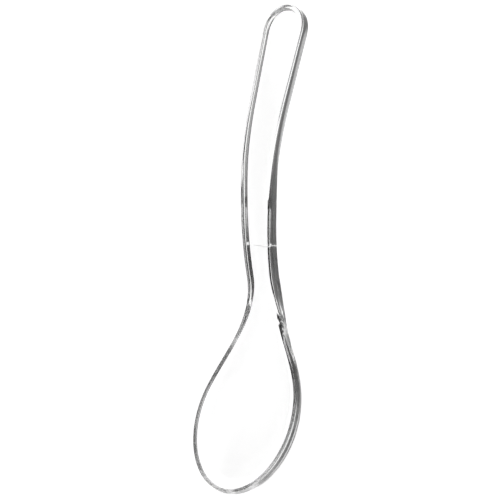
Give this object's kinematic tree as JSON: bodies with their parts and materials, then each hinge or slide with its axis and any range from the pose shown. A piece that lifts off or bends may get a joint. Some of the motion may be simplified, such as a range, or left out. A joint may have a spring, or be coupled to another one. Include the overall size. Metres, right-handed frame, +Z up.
{
  "type": "salad serving spoon",
  "caption": "Long clear moulded serving spoon with a deep egg-shaped bowl, a raised rim all round and an arched handle, for serving salad.",
  "frame": {"origin": "under the middle of the spoon's box, on the table that the spoon lies on", "axes": "+X from the bowl to the handle, +Y to the handle's left side seen from the bowl, +Z up from the table"},
  "size_m": [0.2906, 0.0696, 0.0454],
  "materials": {
    "clear_plastic": "polished clear moulding"
  },
  "bodies": {
    "root": {"spoon": "clear_plastic"}
  },
  "joints": []
}
